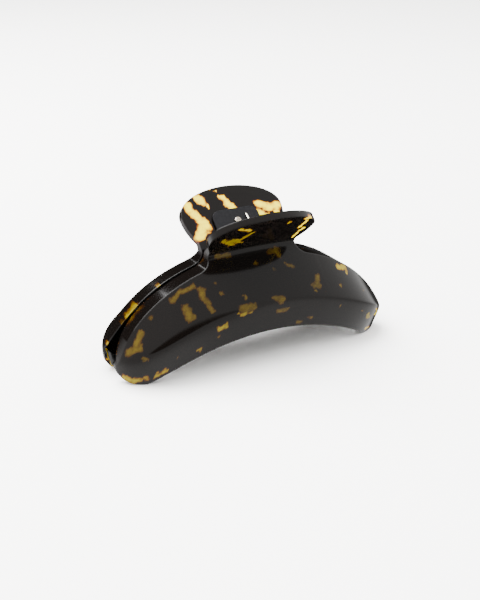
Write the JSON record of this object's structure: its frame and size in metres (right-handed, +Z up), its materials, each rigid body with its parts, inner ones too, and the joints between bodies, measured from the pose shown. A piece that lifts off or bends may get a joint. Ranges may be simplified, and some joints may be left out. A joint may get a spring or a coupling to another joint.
{
  "type": "claw hair clip",
  "caption": "Curved two-jaw claw hair clip with flared finger plates, interlocking comb teeth and a sprung leaf hinge at the waist.",
  "frame": {"origin": "centre of the clip's bounding box, on the plane its four end feet stand on", "axes": "+X along the clip and its hinge pin, +Y from the front jaw to the rear jaw, +Z up towards the finger plates"},
  "size_m": [0.13, 0.0476, 0.0681],
  "materials": {
    "acetate": "polished dark tortoiseshell acetate with amber blotches",
    "hinge_leaf": "dark satin",
    "pin": "satin",
    "spring": "bright drawn wire",
    "screw": "satin"
  },
  "bodies": {
    "rear": {"rear_jaw": "acetate", "rear_hinge_leaf": "hinge_leaf", "hinge_pin": "pin", "torsion_spring": "spring", "rear_leaf_screw_1": "screw", "rear_leaf_screw_2": "screw", "rear_leaf_screw_3": "screw"},
    "front": {"front_jaw": "acetate", "front_hinge_leaf": "hinge_leaf", "front_leaf_screw_1": "screw", "front_leaf_screw_2": "screw", "front_leaf_screw_3": "screw"}
  },
  "joints": [
    {"name": "jaw_open", "type": "hinge", "parent": "rear", "child": "front", "pos_m": [0, 0, 0.0508], "axis": [-1, 0, 0], "range_deg": [0, 75], "stiffness_Nm_per_rad": 0.06, "springref_deg": -114.59, "deforming": ["torsion_spring"]}
  ]
}
